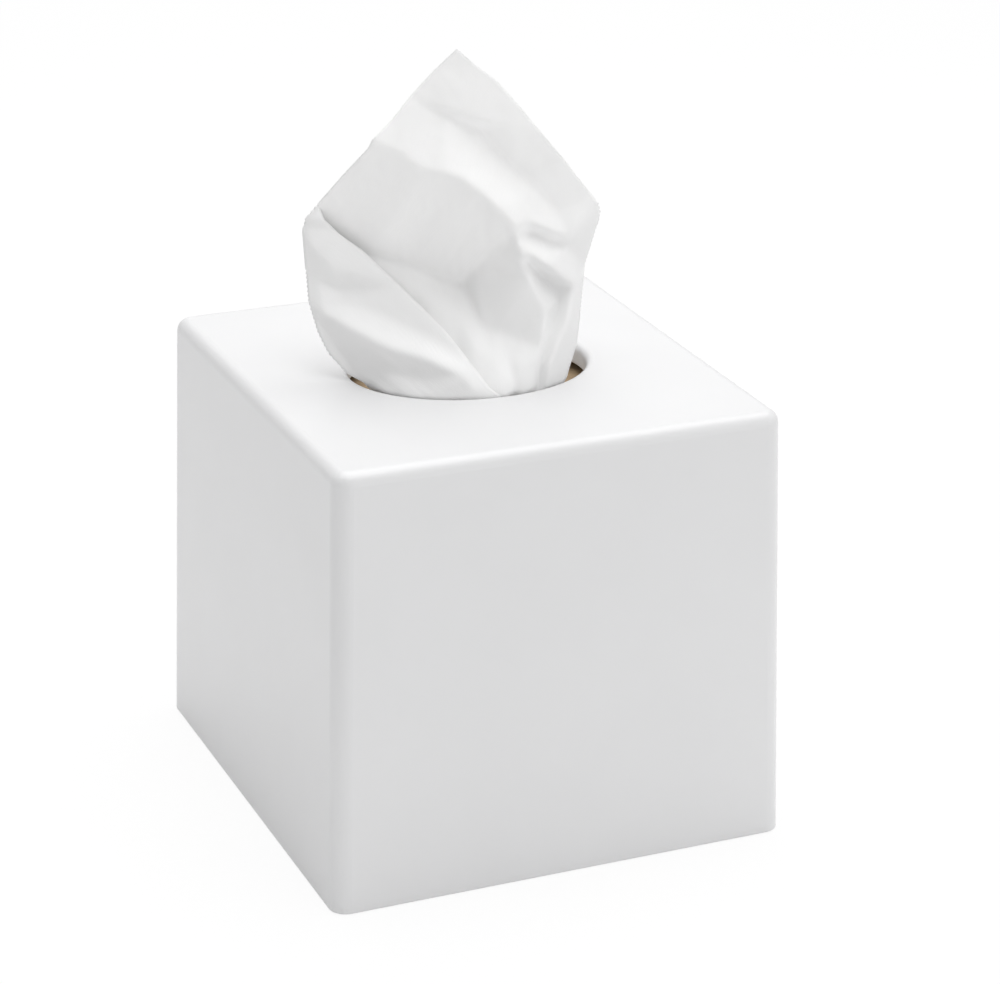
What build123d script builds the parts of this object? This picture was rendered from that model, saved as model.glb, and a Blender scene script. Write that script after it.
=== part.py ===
"""Tissue box: an open-bottomed moulded cover over a cube refill carton, with one tissue up.

The origin is the centre of the cover's base, on the surface the box stands on.
+Z is up, +Y is the back and +X is the right-hand side. All sizes are in millimetres.
"""
from build123d import *
import math
import os

# Refill carton: one folded board blank, glued up one corner. The cover is sized to go over it.
carton_side = 114.0
carton_height = 124.5
board = 0.6
carton_corner_radius = 1.2
glue_tab_width = 14.0
flap_gap = 1.0                # where the two outer flaps of the floor meet

# Cover: one moulded shell, wider at its open base so that it leaves the mould
side_room = 6.0               # from the carton to the cavity's left and right, where it is narrowest
end_room = 10.7               # the same at the front and the back
head_room = 2.5               # from the carton to the underside of the cover's top
cover_draft = 1.38            # degrees, on all four sides, outside and inside
cover_wall = 5.5
cover_top_thickness = 6.5
corner_radius = 5.25          # upright outer corners
top_edge_radius = 4.0
inner_corner_radius = 2.0
inner_top_radius = 1.5
base_edge_radius = 0.6        # eased edges of the rim it stands on

# Oval hole in the middle of the cover's top, and the carton's slot inside it
hole_length = 73.0            # along X
hole_width = 60.0             # along Y
hole_top_radius = 2.0
hole_under_radius = 0.6
slot_rim = 6.5                # how far the carton's slot stays inside the cover's hole

# Stack of folded tissues, which nearly fills the carton
stack_clearance = 3.5         # to each carton wall
stack_head_space = 7.0        # to the carton's top panel
stack_fold_radius = 3.0
stack_corner_radius = 2.0

# Tissue that stands up through both openings
contact_gap = 0.3
tissue_rise = 98.5            # above the cover's top
tissue_turn = -20.0           # degrees about Z: its broad side faces front and a little left
pad_inset = 3.9               # its lower half, folded flat on the stack
pad_thickness = 2.0
pad_corner_radius = 6.0
slot_neck_clearance = 6.0     # from the neck to the edge of the carton's slot
hole_end_clearance = 6.5      # from the neck to the two ends of the cover's hole
hole_side_clearance = 9.0     # from the neck to the hole's front and back
spread_width = 95.0           # its widest, between its two side folds
spread_depth = 46.0
spread_rise = 30.0
shoulder_width = 92.0
shoulder_depth = 34.0
shoulder_rise = 49.0
tip_width = 5.0
tip_depth = 3.0

draft_slope = math.tan(math.radians(cover_draft))
cover_underside = carton_height + head_room
cover_height = cover_underside + cover_top_thickness
cavity_lean = 2 * cover_underside * draft_slope
cavity_base_width = carton_side + 2 * side_room + cavity_lean
cavity_base_depth = carton_side + 2 * end_room + cavity_lean
carton_floor = 2 * board
stack_side = carton_side - 2 * board - 2 * stack_clearance
stack_top = carton_height - board - stack_head_space
slot_length = hole_length - 2 * slot_rim
slot_width = hole_width - 2 * slot_rim
pad_side = stack_side - 2 * pad_inset


def drafted_block(width, depth, height, radius):
    """A block with rounded upright corners whose sides lean in by the draft as they rise."""
    lean = 2 * height * draft_slope
    base = RectangleRounded(width, depth, radius)
    top = Pos(0, 0, height) * RectangleRounded(width - lean, depth - lean, radius)
    return loft(Sketch() + [base, top], ruled=True)


def edges_at(solid, height):
    return solid.edges().filter_by_position(Axis.Z, height - 0.01, height + 0.01)


def hole_rim(solid, height):
    """The hole's edge at one height, which is the only closed curve there."""
    return edges_at(solid, height).filter_by(lambda edge: edge.is_closed)


def make_cover():
    """The shell: drafted walls, a thick top and the oval hole with its rounded lip."""
    shell = drafted_block(cavity_base_width + 2 * cover_wall, cavity_base_depth + 2 * cover_wall,
                          cover_height, corner_radius)
    shell = fillet(edges_at(shell, cover_height), top_edge_radius)
    cavity = drafted_block(cavity_base_width, cavity_base_depth, cover_underside, inner_corner_radius)
    cavity = fillet(edges_at(cavity, cover_underside), inner_top_radius)
    shell -= cavity
    hole = extrude(Ellipse(hole_length / 2, hole_width / 2), cover_height + cover_top_thickness)
    shell -= hole
    shell = fillet(hole_rim(shell, cover_height), hole_top_radius)
    shell = fillet(hole_rim(shell, cover_underside), hole_under_radius)
    return fillet(edges_at(shell, 0), base_edge_radius)


def make_carton():
    """The board box: oval slot on top, doubled floor flaps and the glue tab inside one corner."""
    outside = extrude(RectangleRounded(carton_side, carton_side, carton_corner_radius), carton_height)
    inside_side = carton_side - 2 * board
    inside = RectangleRounded(inside_side, inside_side, carton_corner_radius - board)
    box = outside - Pos(0, 0, carton_floor) * extrude(inside, carton_height - board - carton_floor)
    slot = extrude(Ellipse(slot_length / 2, slot_width / 2), carton_height)
    slot = Pos(0, 0, carton_height / 2) * slot
    flap_seam = Pos(0, 0, board / 2) * Box(inside_side, flap_gap, board)
    tab_height = carton_height - board - carton_floor
    tab = Pos((inside_side - board) / 2, -(inside_side - glue_tab_width) / 2,
              carton_floor + tab_height / 2) * Box(board, glue_tab_width - carton_corner_radius, tab_height)
    return box - slot - flap_seam + tab


def make_stack():
    """The folded tissues as one block, rounded along its folded sides."""
    height = stack_top - carton_floor
    block = extrude(RectangleRounded(stack_side, stack_side, stack_corner_radius), height)
    block = fillet(edges_at(block, height).filter_by(Axis.X), stack_fold_radius)
    return Pos(0, 0, carton_floor) * block


def tissue_section(width, depth, height):
    return Pos(0, 0, height) * Rot(0, 0, tissue_turn) * Ellipse(width / 2, depth / 2)


def make_tissue():
    """The tissue as a plain closed body: folded pad, neck, spread, shoulder and tip."""
    pad_base = stack_top + contact_gap
    slot_neck = (slot_length - 2 * slot_neck_clearance, slot_width - 2 * slot_neck_clearance)
    hole_neck = (hole_length - 2 * hole_end_clearance, hole_width - 2 * hole_side_clearance)
    sections = [
        tissue_section(*slot_neck, pad_base + pad_thickness / 2),
        tissue_section(*slot_neck, carton_height),
        tissue_section(*hole_neck, cover_height),
        tissue_section(spread_width, spread_depth, cover_height + spread_rise),
        tissue_section(shoulder_width, shoulder_depth, cover_height + shoulder_rise),
        tissue_section(tip_width, tip_depth, cover_height + tissue_rise),
    ]
    pad = extrude(RectangleRounded(pad_side, pad_side, pad_corner_radius), pad_thickness)
    return Pos(0, 0, pad_base) * pad + loft(Sketch() + sections, ruled=True)


os.makedirs("parts", exist_ok=True)
for node, solid in {
    "cover": make_cover(),
    "refill_carton": make_carton(),
    "tissue_stack": make_stack(),
    "tissue": make_tissue(),
}.items():
    export_step(solid, f"parts/{node}.step")
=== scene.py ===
"""Tissue box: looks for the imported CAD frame. Metres; +Z up, +Y back, +X right.

The cover, carton and stack are the CAD nodes with procedural materials. The tissue is one square
sheet, corner up, with its left side folded to the front and its right side folded to the back.
"""
import math

import bpy
import numpy as np
from mathutils import Euler, Matrix, Vector, geometry, noise


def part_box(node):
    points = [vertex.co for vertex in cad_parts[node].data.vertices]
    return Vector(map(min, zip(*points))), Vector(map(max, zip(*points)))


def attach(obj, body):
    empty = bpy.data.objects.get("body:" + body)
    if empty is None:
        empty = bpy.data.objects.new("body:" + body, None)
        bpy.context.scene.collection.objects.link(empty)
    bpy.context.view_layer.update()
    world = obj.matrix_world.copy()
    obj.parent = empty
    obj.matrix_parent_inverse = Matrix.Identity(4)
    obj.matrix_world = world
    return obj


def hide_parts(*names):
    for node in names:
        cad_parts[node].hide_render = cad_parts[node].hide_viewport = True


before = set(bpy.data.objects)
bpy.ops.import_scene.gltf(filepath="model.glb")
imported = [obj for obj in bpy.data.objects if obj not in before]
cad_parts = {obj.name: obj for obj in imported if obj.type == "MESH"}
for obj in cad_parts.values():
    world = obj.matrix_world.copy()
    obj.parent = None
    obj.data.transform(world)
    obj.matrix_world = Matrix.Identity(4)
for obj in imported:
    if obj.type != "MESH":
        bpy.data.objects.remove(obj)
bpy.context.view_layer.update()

MM = 0.001

# ---------------------------------------------------------------- tissue: sizes in millimetres
SHEET_SIDE = 200.0
GRID = 217                    # points along each side of the sheet
PLY_THICKNESS = 0.16
TURN = math.radians(-20.0)    # the tissue's broad side faces front and a little left
APEX_RISE = 97.0              # above the cover's top
RIM_DEPTH = 103.0             # down the sheet's diagonal, from its top corner to the cover's hole
NECK_DEPTH = 114.0            # the same, to the carton's slot
FOLD = 49.0                   # from the sheet's middle line to each side fold
FOLD_RADIUS = 1.5
FLAP_GAP = 1.1
PAD_HALF_WIDTH = 46.0
PAD_FRONT = 45.0
PAD_LEVELS = (-11.9, -14.9)   # the two passes of the folded lower half, below the cover's top
PAD_START = 12.0              # how far forward of the middle the pad's first run begins
PAD_SHARE = 0.78              # run of the pad for each millimetre of sheet, the rest going into its folds
PAD_LAYER = 0.55              # between the main layer and each flap's layer
PAD_TURN_SPREAD = 4.0         # length of the turn from the first run to the second
SLOT_LEVEL = -9.5             # below the cover's top, where the visible part ends
DESCENT = 0.85                # drop for each millimetre of sheet inside the hole
NECK_SQUEEZE = 0.24           # how much narrower the gather is at the slot than at the hole
SQUEEZE_DROP = 8.5
SINK_RUN = 7.0                # lengths of sheet over which the neck turns into the flat pad
SPREAD_DELAY = 3.0
SPREAD_RUN = 22.0
FLAP_START = 6.0              # length of sheet over which each flap comes away from the corner
FLAP_STRETCH = 1.2            # most that a flap may be spread sideways
BACK_GAP = 1.2                # from the main panel to the back flap, and its extra bulge low down
BACK_BULGE = 15.0
BACK_BULGE_MIDDLE = 2.0
BACK_BULGE_HALF_WIDTH = 34.0
BACK_BULGE_RISE = 46.0
FINE_CREASES = ((0.22, 14, 3.1), (0.10, 5, 8.7))      # (depth, size, seed of the noise)
CALM_TIP = 12.0               # the top corner has no fine creases
TINY = 1e-6

# Outline from the front, as (height above the cover's top, distance right of the middle)
LEFT_OUTLINE = [(-20, -24), (0, -30.5), (2.5, -36), (7.5, -41), (10, -42.5), (14, -44.5), (22, -47),
                (28, -47.5), (35.5, -48), (42.5, -48.5), (46.5, -47.5), (50.5, -44), (59.5, -37),
                (69.5, -29), (72, -28), (77, -22.5), (83.5, -17), (91, -10), (97, -3.5)]
RIGHT_OUTLINE = [(-20, 24), (0.5, 29.5), (8, 32), (21, 33.5), (31.5, 34.5), (41.5, 37.5), (44.5, 38.6),
                 (47, 38.9), (49.5, 38.3), (52, 36.3), (59.5, 30.5), (63, 28), (72.5, 20.5),
                 (82.5, 12.5), (87.5, 8), (92.5, 1.5), (97, -3.5)]
FRONT_FREE_EDGE = [(-20, 12), (0, 8.5), (2, 5.5), (8.5, 0), (16, -7), (21.5, -13.5), (28, -21),
                   (36, -29.5), (43.5, -37.5), (50.5, -44)]
BACK_FREE_EDGE = [(-20, -10), (0, -8), (16, 4), (32, 20), (47.5, 36), (52, 36.5)]

# Creases of the main panel, as (right, up, towards the viewer)
PANEL_CREASES = {
    "left edge": [(-3.5, 97, 6), (-10, 91, 6.5), (-17, 83.5, 7), (-22.5, 77, 9.5), (-28, 72, 12),
                  (-29, 69.5, 11), (-37, 59.5, 7), (-44, 50, 4), (-48, 44, 2)],
    "right edge": [(-3.5, 97, 6), (1.5, 92.5, 6), (12.5, 82.5, 6), (21.5, 71, 5), (28, 63, 3),
                   (36.5, 52, 2), (39, 47.5, 2), (37.5, 41.5, 3), (34.5, 31.5, 4), (33.5, 21, 6),
                   (32, 8, 10), (29.5, 0.5, 13)],
    "top ridge": [(-17, 83.5, 7), (-15.5, 82.5, 8), (-7, 80.5, 9), (3, 76.5, 8.5), (12, 74, 7),
                  (21.5, 71, 5)],
    "upper valley": [(-15.5, 82.5, 8), (-7, 78, 7.5), (2, 73, 5.5), (6, 67.5, 4.5), (13.5, 60, 3.5),
                     (20, 54.5, 4), (25.5, 47.5, 3.5)],
    "main ridge": [(-28, 72, 12), (-20, 69, 13), (-13, 63.5, 14.5), (-7, 63, 15), (-1.5, 61, 15.5),
                   (3, 57.5, 15.5), (8, 52.5, 15), (13, 46.5, 14)],
    "lower valley": [(-44, 50, 4), (-29.5, 35, 4), (-17.5, 31.5, 3), (-9, 27.5, 2.5), (-1.5, 24.5, 2),
                     (2, 30, 4.5), (6.5, 37, 8), (10, 36.5, 9), (12.5, 42, 11), (13, 46.5, 14)],
    "right rib": [(13, 46.5, 14), (15, 36, 12.5), (18, 30, 12), (22.5, 21, 13), (21, 10, 18),
                  (18.5, 0, 22)],
    "upper hollow": [(14.5, 43, 10), (18, 42, 5.5), (24, 38.5, 5.5), (29, 37.5, 6)],
    "upper hollow lip": [(13, 46.5, 14), (17, 46.5, 10), (23, 43.5, 8), (29, 41, 6.5)],
    "right ridge": [(14.5, 40, 13), (18, 37.5, 12.5), (23, 33.5, 12), (31, 26, 9.5)],
    "lower hollow": [(16.5, 33.5, 9), (20, 30, 6.5), (24, 26.5, 6.5), (27.5, 24, 8)],
    "right leaf": [(31, 26, 9), (28.5, 17, 14.5), (25, 11, 18.5), (22.5, 5, 21.5), (21.5, -1, 22)],
    "behind the leaf": [(26.5, 22, 8), (24, 15, 11.5), (21.5, 8, 16), (20, -1, 19.5)],
    "front pleat": [(4, 15, 12), (7, 9, 20), (9, 3, 25), (10.5, -2, 28)],
    "pleat beside it": [(8, 14, 13.5), (11, 8, 18.5), (12.5, 2, 24), (13, -2, 25)],
    "right pleat": [(15, 12, 14), (15.5, 6, 21.5), (15.5, -2, 25.6)],
    "front swell": [(-12, 22, 8), (-2, 17, 12), (2, 11, 20)],
    "rim": [(-30.5, -1, 17), (-24.6, -1, 23), (-17, -1, 27), (-8, -1, 29), (1, -1, 29.2),
            (10.5, -2, 28), (15.5, -2, 25.6), (18.5, 0, 23.6), (20, -1, 20), (21.5, -1, 22.5),
            (29.5, 0.5, 13.5)],
}
# Creases of the flap that is folded to the front
FLAP_CREASES = {
    "fold": [(-44, 51, 6), (-48.5, 44, 4), (-48, 35.5, 5), (-47.5, 28, 6), (-47, 22, 8), (-44.5, 14, 9),
             (-41, 7.5, 11), (-36, 2.5, 15), (-30.5, 0, 18)],
    "free edge": [(-44, 51, 6), (-37.5, 43.5, 6.5), (-29.5, 36, 7), (-21, 28, 8.5), (-13.5, 21.5, 13),
                  (-7, 16, 18), (0, 8.5, 24), (5.5, 2, 28), (8.5, 0, 29)],
    "upper swell": [(-45, 38, 8), (-40, 33, 9.5), (-33, 31, 9)],
    "upper dip": [(-44, 29, 7), (-38, 26, 7.5), (-31, 25.5, 8)],
    "ridge": [(-47, 22, 8), (-42.5, 20, 12.5), (-36, 18, 17), (-28.5, 15, 21), (-23.5, 13.5, 23.5),
              (-12, 11, 27), (-3, 7, 28.5), (1, 2, 29)],
    "hollow": [(-36, 22, 10), (-30.5, 21, 11), (-23, 18, 13), (-16, 15, 16), (-8.5, 12, 20)],
    "lower leaf": [(-41, 7.5, 11), (-33, 7, 17), (-24, 5, 22.5), (-14, 4, 25.5)],
    "rim": [(-30.5, 0, 18.8), (-24.6, -1, 24.5), (-17, -1, 28.4), (-8, -1, 30.3), (1, -1, 30.2),
            (8.5, 0, 29.5)],
}
# Depths well outside the outline, to carry the outer facets on
OUTSIDE = [(-70, 115, 6), (60, 115, 6), (-70, 30, 2), (60, 30, 2), (-70, -25, 14), (0, -25, 27),
           (60, -25, 10)]
MAP_LOW = np.array([-60.0, -24.0])
MAP_STEP = 0.5
MAP_SHAPE = (210, 260)        # right, up
CREASE_SOFTNESS = 3           # passes of blur over the facets

# Room for the sheet inside the slot, the hole and its lip: half widths and half depths at each height
OPENING_HEIGHTS = (-10.5, -8.5, -5, -2, 0, 3, 9)
OPENING_HALF_WIDTHS = (28.9, 28.9, 33.5, 35.9, 37.6, 46, 90)
OPENING_HALF_DEPTHS = (22.5, 22.5, 27.4, 29.5, 31.2, 40, 90)
OPENING_BOTTOM = -10.6
OPENING_FILL = 0.98           # how close the main panel comes to that room
FRONT_FLAP_FILL = 0.015       # how much closer the front flap comes


def smooth_step(x):
    x = np.clip(x, 0.0, 1.0)
    return x * x * (3 - 2 * x)


def blur(values):
    for axis in (0, 1):
        ahead = np.roll(values, 1, axis)
        behind = np.roll(values, -1, axis)
        values = (ahead + 2 * values + behind) / 4
    return values


def facet_map(creases):
    """Depth over (right, up): flat facets between the creases, with softened edges."""
    points, depths, edges = [], [], []
    for line in creases.values():
        for i, (right, up, depth) in enumerate(line):
            points.append(Vector((right, up)))
            depths.append(depth)
            if i:
                edges.append((len(points) - 2, len(points) - 1))
    for right, up, depth in OUTSIDE:
        points.append(Vector((right, up)))
        depths.append(depth)
    verts, _, faces, source, _, _ = geometry.delaunay_2d_cdt(points, edges, [], 0, 0.01)
    xy = np.array([tuple(v) for v in verts])
    known = np.array([np.mean([depths[k] for k in src]) if src else np.nan for src in source])
    for i in np.flatnonzero(np.isnan(known)):       # where two creases cross
        near = np.argsort(np.hypot(*(xy - xy[i]).T))[1:4]
        known[i] = np.nanmean(known[near])
    right = MAP_LOW[0] + MAP_STEP * np.arange(MAP_SHAPE[0])
    up = MAP_LOW[1] + MAP_STEP * np.arange(MAP_SHAPE[1])
    gx, gy = np.meshgrid(right, up, indexing="ij")
    out = np.full(MAP_SHAPE, 10.0)
    for face in faces:
        (ax, ay), (bx, by), (cx, cy) = xy[list(face[:3])]
        area = (bx - ax) * (cy - ay) - (cx - ax) * (by - ay)
        if abs(area) < 1e-9:
            continue
        wb = ((gx - ax) * (cy - ay) - (cx - ax) * (gy - ay)) / area
        wc = ((bx - ax) * (gy - ay) - (gx - ax) * (by - ay)) / area
        inside = (wb >= -1e-6) & (wc >= -1e-6) & (wb + wc <= 1 + 1e-6)
        za, zb, zc = known[list(face[:3])]
        out[inside] = (za + wb * (zb - za) + wc * (zc - za))[inside]
    for _ in range(CREASE_SOFTNESS):
        out = blur(out)
    return out


def sample(depth_map, right, up):
    x = np.clip((right - MAP_LOW[0]) / MAP_STEP, 0, MAP_SHAPE[0] - 1.001)
    y = np.clip((up - MAP_LOW[1]) / MAP_STEP, 0, MAP_SHAPE[1] - 1.001)
    i, j = x.astype(int), y.astype(int)
    s, t = x - i, y - j
    low = depth_map[i, j] * (1 - s) + depth_map[i + 1, j] * s
    high = depth_map[i, j + 1] * (1 - s) + depth_map[i + 1, j + 1] * s
    return low * (1 - t) + high * t


def profile(line, up):
    heights, values = zip(*line)
    return np.interp(up, heights, values)


def wrinkles(across, down, size, seed):
    """Fine creases: ridged noise over the flat sheet."""
    out = np.empty(across.size)
    for k, (a, b) in enumerate(zip(across.ravel(), down.ravel())):
        out[k] = 1 - 2 * abs(noise.noise(Vector((a / size, b / size, seed))))
    return out.reshape(across.shape)


def side_folds(across, down):
    """How far each point is past the two side folds, and how much of it lies in each flap."""
    past_left = -FOLD - across
    past_right = across - FOLD
    grown = smooth_step((down - FOLD) / FLAP_START)
    in_front = (0.5 + 0.5 * past_left / np.hypot(past_left, FOLD_RADIUS)) * grown
    in_back = (0.5 + 0.5 * past_right / np.hypot(past_right, FOLD_RADIUS)) * grown
    return past_left, past_right, in_front, in_back


def place_in_outline(across, down, height, past_left, past_right):
    """How far right of the middle each point lies, as seen from the front."""
    left = profile(LEFT_OUTLINE, height)
    right = profile(RIGHT_OUTLINE, height)
    half = np.clip(down, TINY, FOLD)
    flap = np.maximum(down - FOLD, TINY)
    front_reach = np.maximum(profile(FRONT_FREE_EDGE, height) - left, 0) / flap
    back_reach = np.maximum(right - profile(BACK_FREE_EDGE, height), 0) / flap
    main = left + (right - left) * (across + half) / (2 * half)
    front = left + past_left * np.clip(front_reach, 0, FLAP_STRETCH)
    back = right - past_right * np.clip(back_reach, 0, FLAP_STRETCH)
    has_flap = down > FOLD
    not_front = np.where(has_flap & (past_right > 0), back, main)
    return np.where(has_flap & (past_left > 0), front, not_front)


def depth_to_viewer(u, height, in_front, in_back):
    """How far towards the viewer each point lies: the main panel and its two flaps."""
    panel = sample(facet_map(PANEL_CREASES), u, height)
    front = np.maximum(sample(facet_map(FLAP_CREASES), u, height), panel + FLAP_GAP)
    middle = np.clip(1 - ((u - BACK_BULGE_MIDDLE) / BACK_BULGE_HALF_WIDTH) ** 2, 0, 1)
    back = panel - (BACK_GAP + BACK_BULGE * middle * smooth_step(1 - height / BACK_BULGE_RISE))
    return panel + in_front * (front - panel) + in_back * (back - panel)


def folded_half(across, past, past_left, past_right, layer):
    """The hidden lower half, on the stack: forward from the slot, then back under itself."""
    run = past * PAD_SHARE
    turn = PAD_FRONT - PAD_START
    forward = PAD_START + np.minimum(run, turn)
    backward = PAD_FRONT - np.maximum(run - turn, 0)
    n = np.where(run < turn, forward, backward)
    under = smooth_step((run - turn + PAD_TURN_SPREAD / 2) / PAD_TURN_SPREAD)
    z = PAD_LEVELS[0] + (PAD_LEVELS[1] - PAD_LEVELS[0]) * under + layer * (1 - 2 * under)
    not_left = np.where(past_right > 0, FOLD - past_right, across)
    u = np.where(past_left > 0, -FOLD + past_left, not_left)
    u = np.clip(u * (PAD_HALF_WIDTH / FOLD), -PAD_HALF_WIDTH, PAD_HALF_WIDTH)
    return u, n, z


def pull_into_openings(x, y, z, in_front):
    """Moves the points that would cross the slot or the hole towards the middle."""
    half_width = np.interp(z, OPENING_HEIGHTS, OPENING_HALF_WIDTHS)
    half_depth = np.interp(z, OPENING_HEIGHTS, OPENING_HALF_DEPTHS)
    reach = np.hypot(x / half_width, y / half_depth)
    limit = OPENING_FILL + FRONT_FLAP_FILL * in_front
    pull = np.where(z > OPENING_BOTTOM, np.minimum(1, limit / np.maximum(reach, TINY)), 1)
    return np.stack([x * pull, y * pull, z], -1)


def tissue_points():
    """Every point of the sheet, in millimetres: u is to the right and n towards the viewer."""
    side = np.linspace(0, SHEET_SIDE, GRID)
    a, b = np.meshgrid(side, side, indexing="ij")
    down = (a + b) / math.sqrt(2)
    across = (b - a) / math.sqrt(2)
    above = APEX_RISE * (1 - down / RIM_DEPTH)
    height = np.maximum(np.where(down < RIM_DEPTH, above, (RIM_DEPTH - down) * DESCENT), SLOT_LEVEL)
    past_left, past_right, in_front, in_back = side_folds(across, down)

    u = place_in_outline(across, down, height, past_left, past_right)
    n = depth_to_viewer(u, height, in_front, in_back)
    fine = sum(depth * wrinkles(across, down, size, seed) for depth, size, seed in FINE_CREASES)
    n += smooth_step(down / CALM_TIP) * fine
    squeeze = 1 - NECK_SQUEEZE * smooth_step(-height / SQUEEZE_DROP)
    u = u * squeeze
    n = n * squeeze

    past = np.maximum(down - NECK_DEPTH, 0)
    layer = PAD_LAYER * (in_front - in_back)
    pad_u, pad_n, pad_z = folded_half(across, past, past_left, past_right, layer)
    spread = smooth_step((past - SPREAD_DELAY) / SPREAD_RUN)
    u = u + spread * (pad_u - u)
    n = n + spread * (pad_n - n)
    z = height + smooth_step(past / SINK_RUN) * (pad_z - height)
    angle = TURN * (1 - spread)                    # the pad is square with the carton
    x = u * np.cos(angle) + n * np.sin(angle)
    y = u * np.sin(angle) - n * np.cos(angle)
    return pull_into_openings(x, y, z, in_front)


def make_tissue():
    """One sheet as a grid of quads, standing on the cover's top, with its flat place as its UVs."""
    cover_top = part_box("cover")[1].z
    points = tissue_points() * MM
    points[..., 2] += cover_top
    mesh = bpy.data.meshes.new("tissue_sheet")
    index = np.arange(GRID * GRID).reshape(GRID, GRID)
    quads = np.stack([index[:-1, :-1], index[1:, :-1], index[1:, 1:], index[:-1, 1:]], -1).reshape(-1, 4)
    mesh.from_pydata(points.reshape(-1, 3).tolist(), [], quads.tolist())
    uv = mesh.uv_layers.new(name="flat")
    side = np.linspace(0, 1, GRID)
    corner = np.array([loop.vertex_index for loop in mesh.loops])
    uv.data.foreach_set("uv", np.stack([side[corner // GRID], side[corner % GRID]], -1).ravel())
    mesh.shade_smooth()
    sheet = bpy.data.objects.new("tissue_sheet", mesh)
    bpy.context.scene.collection.objects.link(sheet)
    thick = sheet.modifiers.new("two plies", "SOLIDIFY")
    thick.thickness = PLY_THICKNESS * MM
    thick.offset = 0
    return sheet


# ---------------------------------------------------------------- materials
def new_material(name):
    material = bpy.data.materials.new(name)
    material.use_nodes = True
    nodes = material.node_tree.nodes
    return material, nodes, material.node_tree.links, nodes["Principled BSDF"]


def noise_node(nodes, links, coordinates, scale, detail):
    node = nodes.new("ShaderNodeTexNoise")
    node.inputs["Scale"].default_value = scale
    node.inputs["Detail"].default_value = detail
    links.new(coordinates, node.inputs["Vector"])
    return node.outputs["Fac"]


def ramp_node(nodes, links, factor, low, high):
    node = nodes.new("ShaderNodeValToRGB")
    node.color_ramp.elements[0].color = (*low, 1)
    node.color_ramp.elements[1].color = (*high, 1)
    links.new(factor, node.inputs["Fac"])
    return node.outputs["Color"]


def bump_node(nodes, links, height, strength, distance, normal=None):
    node = nodes.new("ShaderNodeBump")
    node.inputs["Strength"].default_value = strength
    node.inputs["Distance"].default_value = distance
    links.new(height, node.inputs["Height"])
    if normal is not None:
        links.new(normal, node.inputs["Normal"])
    return node.outputs["Normal"]


def stretched(nodes, links, coordinates, scale):
    node = nodes.new("ShaderNodeMapping")
    node.inputs["Scale"].default_value = scale
    links.new(coordinates, node.inputs["Vector"])
    return node.outputs["Vector"]


def resin_material():
    """Smooth white moulding: a satin gloss with a very faint orange-peel surface."""
    material, nodes, links, shader = new_material("white_resin")
    place = nodes.new("ShaderNodeTexCoord").outputs["Object"]
    cloud = noise_node(nodes, links, place, 28, 3)
    links.new(ramp_node(nodes, links, cloud, (0.685, 0.685, 0.69), (0.71, 0.71, 0.715)),
              shader.inputs["Base Color"])
    smear = noise_node(nodes, links, place, 60, 4)
    links.new(ramp_node(nodes, links, smear, (0.27, 0.27, 0.27), (0.36, 0.36, 0.36)),
              shader.inputs["Roughness"])
    peel = noise_node(nodes, links, place, 900, 2)
    links.new(bump_node(nodes, links, peel, 0.05, 0.00005), shader.inputs["Normal"])
    shader.inputs["IOR"].default_value = 1.49
    return material


def board_material():
    """Uncoated brown carton board: long fibres, flecks and a faint grain."""
    material, nodes, links, shader = new_material("brown_board")
    place = nodes.new("ShaderNodeTexCoord").outputs["Object"]
    fibre = noise_node(nodes, links, stretched(nodes, links, place, (1, 6, 6)), 260, 6)
    links.new(ramp_node(nodes, links, fibre, (0.20, 0.135, 0.075), (0.42, 0.31, 0.19)),
              shader.inputs["Base Color"])
    links.new(bump_node(nodes, links, fibre, 0.3, 0.0001), shader.inputs["Normal"])
    shader.inputs["Roughness"].default_value = 0.85
    return material


def stack_material():
    """The stack's folded edges: fine level layers, a little uneven, with painted shade in the gaps
    between them.
    """
    material, nodes, links, shader = new_material("folded_tissue")
    place = nodes.new("ShaderNodeTexCoord").outputs["Object"]
    layers_and_gap_shade = noise_node(nodes, links, stretched(nodes, links, place, (1, 1, 55)), 14, 5)
    # painted shade: the darker end of this colour is shade in the gaps between the folded layers, which
    # are really as white as the sheet
    links.new(ramp_node(nodes, links, layers_and_gap_shade, (0.55, 0.54, 0.51), (0.83, 0.83, 0.82)),
              shader.inputs["Base Color"])
    links.new(bump_node(nodes, links, layers_and_gap_shade, 0.6, 0.0004), shader.inputs["Normal"])
    shader.inputs["Roughness"].default_value = 0.9
    return material


def tissue_material():
    """Two-ply tissue: creped along one side, matt, and letting some light through."""
    material, nodes, links, shader = new_material("tissue_paper")
    flat = nodes.new("ShaderNodeTexCoord").outputs["UV"]
    crepe = noise_node(nodes, links, stretched(nodes, links, flat, (1, 5, 1)), 90, 4)
    fibre = noise_node(nodes, links, flat, 420, 5)
    cloud = noise_node(nodes, links, flat, 9, 4)
    links.new(ramp_node(nodes, links, cloud, (0.945, 0.945, 0.945), (0.97, 0.97, 0.97)),
              shader.inputs["Base Color"])
    rough = bump_node(nodes, links, fibre, 0.22, 0.00012)
    links.new(bump_node(nodes, links, crepe, 0.35, 0.0002, rough), shader.inputs["Normal"])
    shader.inputs["Roughness"].default_value = 0.95
    shader.inputs["Specular IOR Level"].default_value = 0.15
    shader.inputs["Sheen Weight"].default_value = 0.1
    through = nodes.new("ShaderNodeBsdfTranslucent")
    through.inputs["Color"].default_value = (0.95, 0.945, 0.935, 1)
    mix = nodes.new("ShaderNodeMixShader")
    mix.inputs["Fac"].default_value = 0.2
    links.new(shader.outputs["BSDF"], mix.inputs[1])
    links.new(through.outputs["BSDF"], mix.inputs[2])
    links.new(mix.outputs["Shader"], nodes["Material Output"].inputs["Surface"])
    return material


def dress(node, material):
    """Gives a CAD node its material."""
    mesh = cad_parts[node].data
    mesh.materials.clear()
    mesh.materials.append(material)


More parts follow.
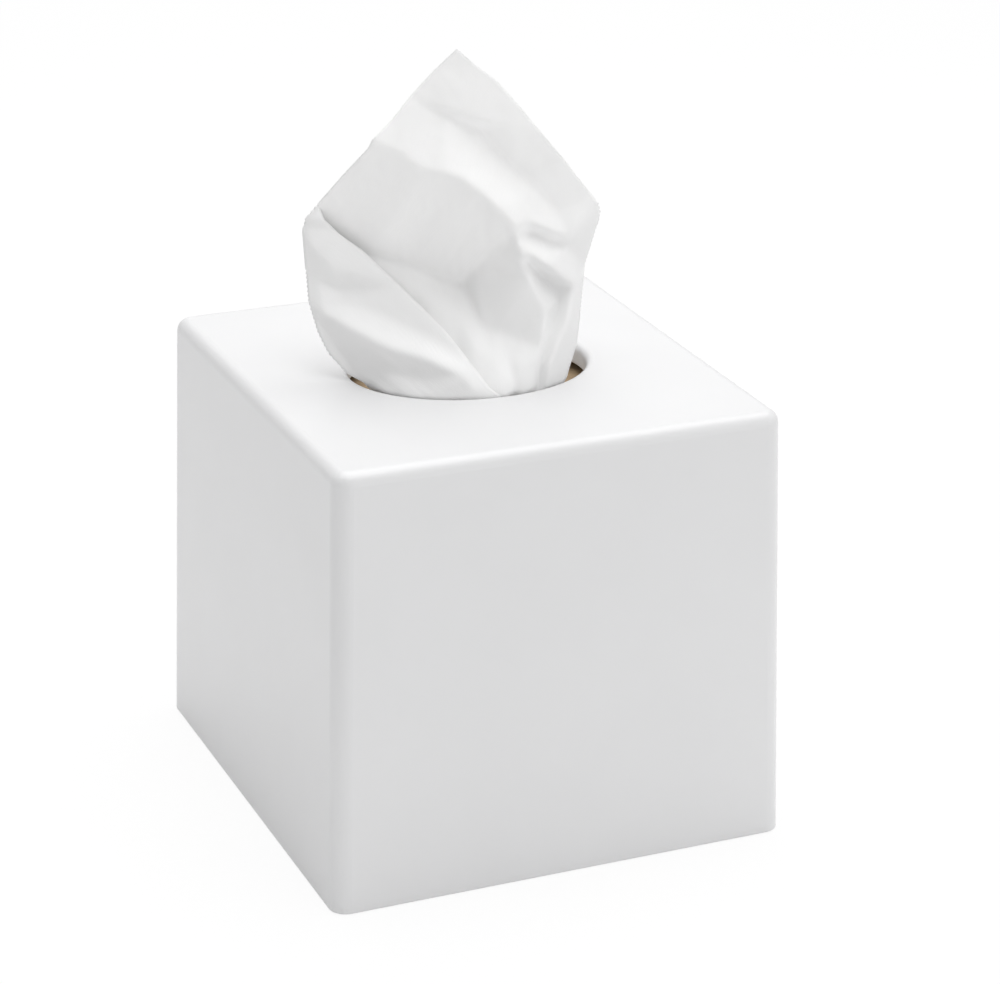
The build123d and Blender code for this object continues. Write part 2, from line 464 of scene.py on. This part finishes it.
# ---------------------------------------------------------------- studio
CAMERA_PLACE = Vector((-0.3546, -0.8612, 0.4679))
CAMERA_YAW = math.radians(-23.00)
CAMERA_PITCH = math.radians(21.99)
CAMERA_ROLL = math.radians(0.46)
CAMERA_LENS = 119.6           # millimetres, for a 36 mm sensor

WORLD_STRENGTH = 0.53
FLOOR_REACH = 3.0
FLOOR_DROP = 0.0002           # just under the cover's base
FLOOR_VEIL = 0.9              # how much of the floor that the camera sees is plain white
# Softboxes, as (place, target, size, watts)
SOFTBOXES = {
    "top_softbox": ((0.1, 0.1, 1.3), (0, 0, 0.15), (1.4, 1.4), 16),
    "back_softbox": ((0.35, 1.2, 0.75), (0, 0, 0.18), (1.2, 0.8), 1.2),
    "right_softbox": ((1.0, -0.9, 0.5), (0, 0, 0.05), (1.0, 0.7), 1.8),
    "low_fill": ((0.2, -1.4, 0.12), (0, 0, 0.0), (1.4, 0.2), 1.8),
}


def make_camera():
    """A long lens from the front left, at the photograph's viewing angle."""
    data = bpy.data.cameras.new("camera")
    data.sensor_width = 36
    data.lens = CAMERA_LENS
    data.clip_end = 50
    camera = bpy.data.objects.new("camera", data)
    look = Euler((math.pi / 2 - CAMERA_PITCH, 0, CAMERA_YAW)).to_matrix().to_4x4()
    roll = Matrix.Rotation(CAMERA_ROLL, 4, "Z")
    camera.matrix_world = Matrix.Translation(CAMERA_PLACE) @ look @ roll
    bpy.context.scene.collection.objects.link(camera)
    bpy.context.scene.camera = camera


def area_light(name, place, target, size, power):
    data = bpy.data.lights.new(name, "AREA")
    data.shape = "RECTANGLE"
    data.size, data.size_y = size
    data.energy = power
    light = bpy.data.objects.new(name, data)
    light.location = place
    light.rotation_euler = (Vector(target) - Vector(place)).to_track_quat("-Z", "Y").to_euler()
    bpy.context.scene.collection.objects.link(light)


def white_to_camera(nodes, links, lit, output):
    """The camera sees plain white; the light from the world stays as it is."""
    path = nodes.new("ShaderNodeLightPath")
    white = nodes.new("ShaderNodeBackground")
    white.inputs["Color"].default_value = (1, 1, 1, 1)
    white.inputs["Strength"].default_value = 1
    mix = nodes.new("ShaderNodeMixShader")
    links.new(path.outputs["Is Camera Ray"], mix.inputs["Fac"])
    links.new(lit, mix.inputs[1])
    links.new(white.outputs["Background"], mix.inputs[2])
    links.new(mix.outputs["Shader"], output)


def make_world(strength):
    world = bpy.data.worlds.new("studio")
    world.use_nodes = True
    bpy.context.scene.world = world
    nodes, links = world.node_tree.nodes, world.node_tree.links
    lit = nodes["Background"]
    lit.inputs["Color"].default_value = (1, 1, 1, 1)
    lit.inputs["Strength"].default_value = strength
    white_to_camera(nodes, links, lit.outputs["Background"], nodes["World Output"].inputs["Surface"])


def make_floor():
    """A pale floor that looks white but keeps the object's soft shadow."""
    mesh = bpy.data.meshes.new("floor")
    signs = ((-1, -1), (1, -1), (1, 1), (-1, 1))
    mesh.from_pydata([(x * FLOOR_REACH, y * FLOOR_REACH, 0) for x, y in signs], [], [(0, 1, 2, 3)])
    floor = bpy.data.objects.new("floor", mesh)
    floor.location.z = -FLOOR_DROP
    bpy.context.scene.collection.objects.link(floor)
    material, nodes, links, shader = new_material("floor")
    shader.inputs["Base Color"].default_value = (0.93, 0.93, 0.93, 1)
    shader.inputs["Roughness"].default_value = 0.9
    shader.inputs["Specular IOR Level"].default_value = 0.1
    glow = nodes.new("ShaderNodeEmission")
    glow.inputs["Color"].default_value = (1, 1, 1, 1)
    glow.inputs["Strength"].default_value = 1
    path = nodes.new("ShaderNodeLightPath")
    veil = nodes.new("ShaderNodeMath")
    veil.operation = "MULTIPLY"
    veil.inputs[1].default_value = FLOOR_VEIL
    links.new(path.outputs["Is Camera Ray"], veil.inputs[0])
    mix = nodes.new("ShaderNodeMixShader")
    links.new(veil.outputs["Value"], mix.inputs["Fac"])
    links.new(shader.outputs["BSDF"], mix.inputs[1])
    links.new(glow.outputs["Emission"], mix.inputs[2])
    links.new(mix.outputs["Shader"], nodes["Material Output"].inputs["Surface"])
    mesh.materials.append(material)


bpy.context.scene.view_settings.view_transform = "Standard"
make_camera()
make_world(WORLD_STRENGTH)
make_floor()
for softbox, (place, target, size, watts) in SOFTBOXES.items():
    area_light(softbox, place, target, size, watts)

dress("cover", resin_material())
dress("refill_carton", board_material())
dress("tissue_stack", stack_material())

tissue = make_tissue()
tissue.data.materials.append(tissue_material())
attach(tissue, "root")
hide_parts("tissue")
